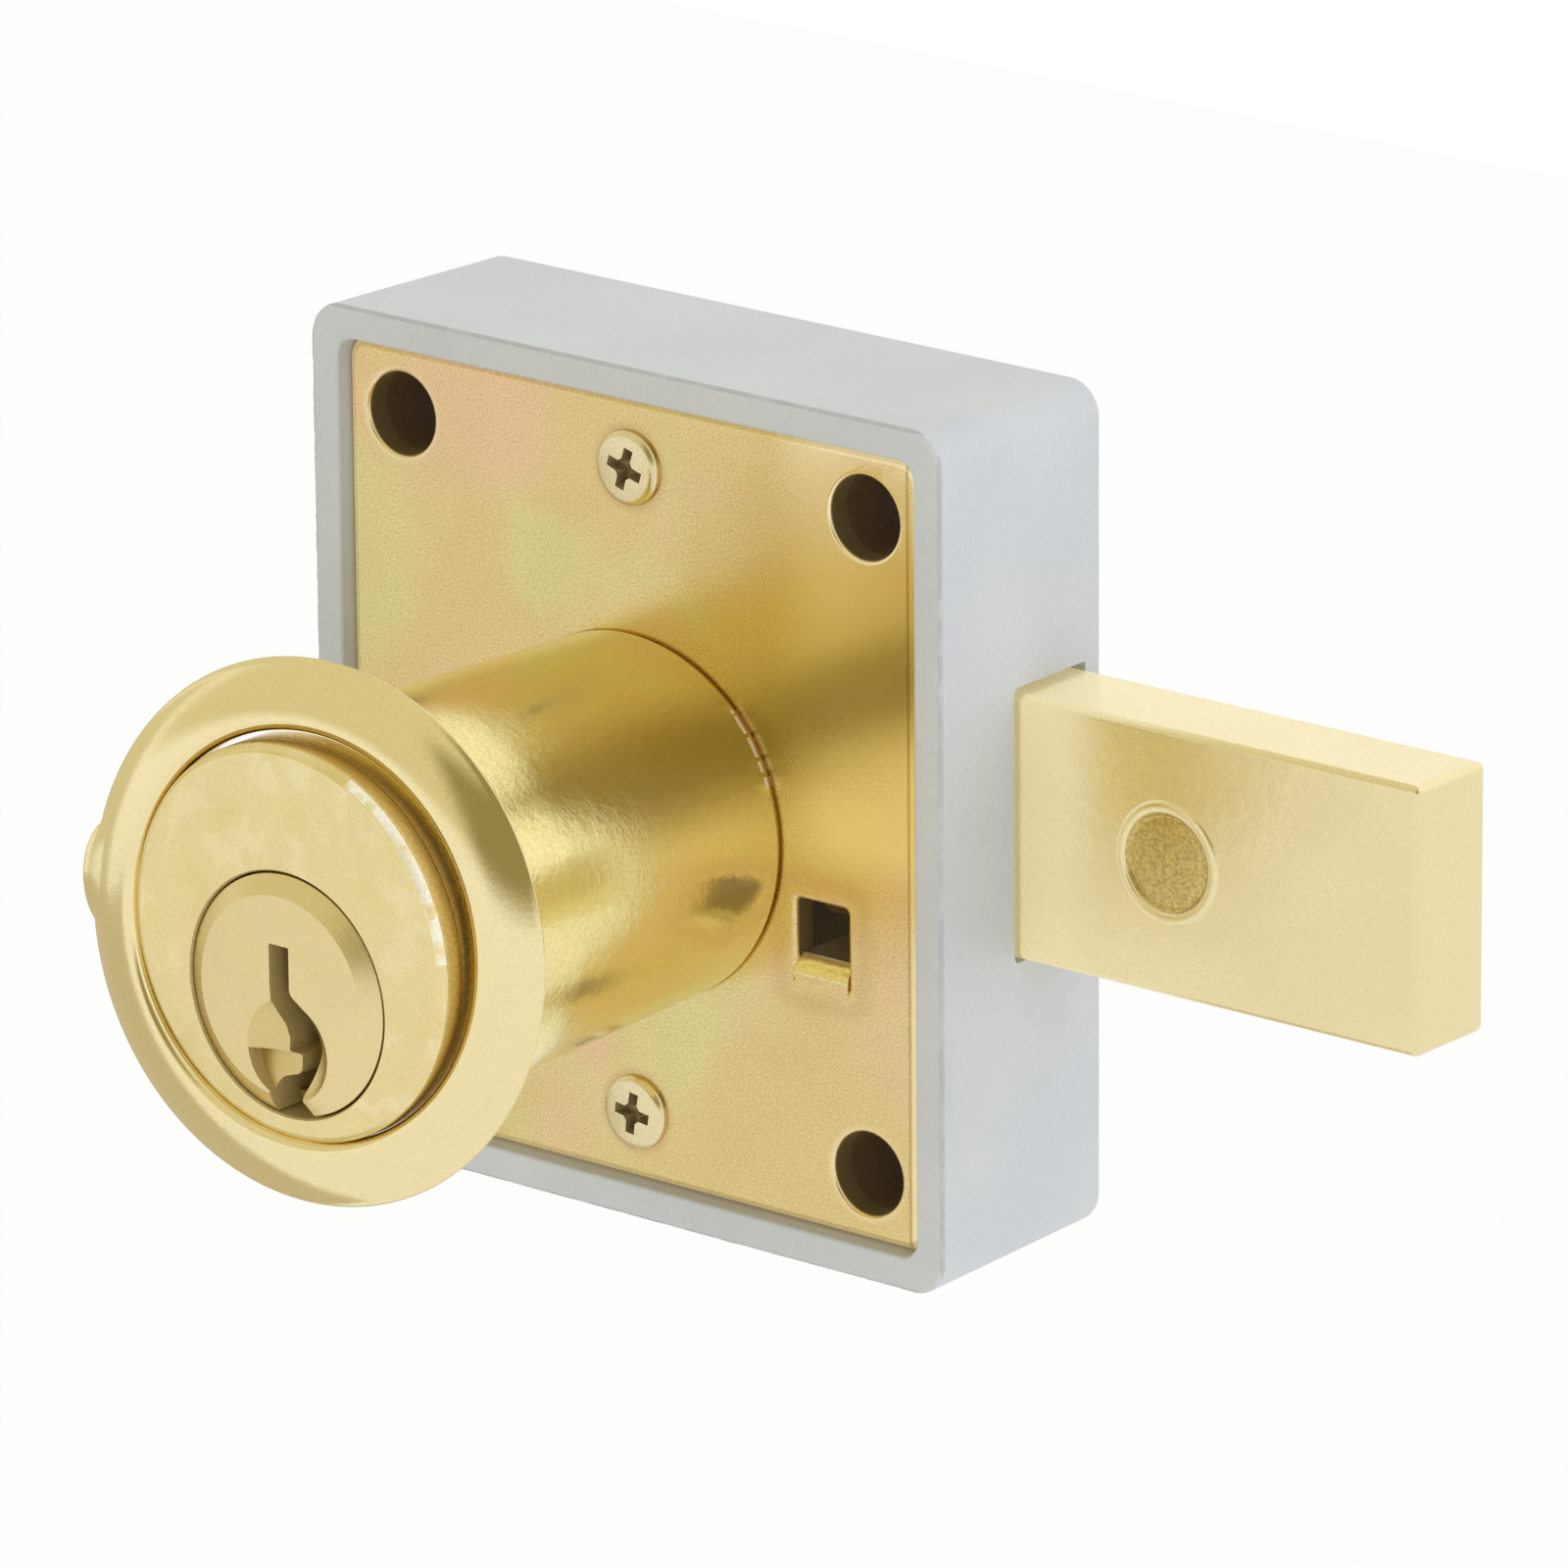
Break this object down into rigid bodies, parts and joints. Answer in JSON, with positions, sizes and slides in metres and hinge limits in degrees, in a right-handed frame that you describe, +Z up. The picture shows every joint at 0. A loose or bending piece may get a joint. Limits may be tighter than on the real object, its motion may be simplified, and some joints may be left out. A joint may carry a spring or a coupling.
{
  "type": "furniture lock",
  "caption": "Surface-mounted cabinet dead bolt: a shallow case with a plated front plate, a long round pin-tumbler cylinder with a loose cover ring, and a sliding rectangular bolt.",
  "frame": {"origin": "centre of the four fixing holes, on the face of the front plate, 0.8 mm behind the rim that lies on the inside of the door", "axes": "+X is the way the bolt is thrown, -Y points along the cylinder to the key side, +Z is up"},
  "size_m": [0.0718, 0.0431, 0.0492],
  "materials": {
    "painted_case": "satin light grey paint on a zinc casting",
    "chromated_plate": "yellow chromate over zinc on stamped steel, matt with faint pink and green tints",
    "brass_face": "satin brass with fine turning marks",
    "plated_barrel": "bright brass plate",
    "ring_brass": "polished brass",
    "bolt_brass": "satin brass plate",
    "screw_brass": "pale brass plate",
    "inner_steel": "zinc plated steel",
    "pin_brass": "turned brass",
    "spring_steel": "bright spring wire"
  },
  "bodies": {
    "case": {"case": "painted_case", "front_plate": "chromated_plate", "plate_screws": "screw_brass", "cylinder_core": "brass_face", "barrel_sleeve": "plated_barrel", "barrel_nut": "inner_steel", "driver_spring_1": "spring_steel", "driver_spring_2": "spring_steel", "driver_spring_3": "spring_steel", "driver_spring_4": "spring_steel", "driver_spring_5": "spring_steel"},
    "plug": {"plug": "brass_face", "tail_arm": "inner_steel", "crank_pin": "inner_steel", "tail_screw": "inner_steel"},
    "bolt": {"bolt": "bolt_brass"},
    "ring": {"escutcheon_ring": "ring_brass"},
    "key_pin_1": {"key_pin_1": "pin_brass"},
    "key_pin_2": {"key_pin_2": "pin_brass"},
    "key_pin_3": {"key_pin_3": "pin_brass"},
    "key_pin_4": {"key_pin_4": "pin_brass"},
    "key_pin_5": {"key_pin_5": "pin_brass"},
    "driver_pin_1": {"driver_pin_1": "pin_brass"},
    "driver_pin_2": {"driver_pin_2": "pin_brass"},
    "driver_pin_3": {"driver_pin_3": "pin_brass"},
    "driver_pin_4": {"driver_pin_4": "pin_brass"},
    "driver_pin_5": {"driver_pin_5": "pin_brass"}
  },
  "joints": [
    {"name": "plug_turn", "type": "hinge", "parent": "case", "child": "plug", "pos_m": [0, -0.0287, -0.0041], "axis": [0, -1, 0], "range_deg": [0, 97.18]},
    {"name": "bolt_slide", "type": "slide", "parent": "case", "child": "bolt", "axis": [1, 0, 0], "range_m": [-0.027, 0]},
    {"name": "ring_slide", "type": "slide", "parent": "case", "child": "ring", "axis": [0, 1, 0], "range_m": [0, 0.0242]},
    {"name": "key_pin_1_drop", "type": "slide", "parent": "plug", "child": "key_pin_1", "axis": [0, 0, -1], "range_m": [0, 0.00235]},
    {"name": "key_pin_2_drop", "type": "slide", "parent": "plug", "child": "key_pin_2", "axis": [0, 0, -1], "range_m": [0, 0.00115]},
    {"name": "key_pin_3_drop", "type": "slide", "parent": "plug", "child": "key_pin_3", "axis": [0, 0, -1], "range_m": [0, 0.00185]},
    {"name": "key_pin_4_drop", "type": "slide", "parent": "plug", "child": "key_pin_4", "axis": [0, 0, -1], "range_m": [0, 0.00065]},
    {"name": "key_pin_5_drop", "type": "slide", "parent": "plug", "child": "key_pin_5", "axis": [0, 0, -1], "range_m": [0, 0.00205]},
    {"name": "driver_pin_1_lift", "type": "slide", "parent": "case", "child": "driver_pin_1", "axis": [0, 0, 1], "range_m": [0, 0.0014], "stiffness_N_per_m": 120, "springref_m": -0.002, "deforming": ["driver_spring_1"]},
    {"name": "driver_pin_2_lift", "type": "slide", "parent": "case", "child": "driver_pin_2", "axis": [0, 0, 1], "range_m": [0, 0.0014], "stiffness_N_per_m": 120, "springref_m": -0.002, "deforming": ["driver_spring_2"]},
    {"name": "driver_pin_3_lift", "type": "slide", "parent": "case", "child": "driver_pin_3", "axis": [0, 0, 1], "range_m": [0, 0.0014], "stiffness_N_per_m": 120, "springref_m": -0.002, "deforming": ["driver_spring_3"]},
    {"name": "driver_pin_4_lift", "type": "slide", "parent": "case", "child": "driver_pin_4", "axis": [0, 0, 1], "range_m": [0, 0.0014], "stiffness_N_per_m": 120, "springref_m": -0.002, "deforming": ["driver_spring_4"]},
    {"name": "driver_pin_5_lift", "type": "slide", "parent": "case", "child": "driver_pin_5", "axis": [0, 0, 1], "range_m": [0, 0.0014], "stiffness_N_per_m": 120, "springref_m": -0.002, "deforming": ["driver_spring_5"]}
  ],
  "couplings": [
    {"joint": "plug_turn", "follows": "bolt_slide", "rad_per_m": -62.818}
  ]
}
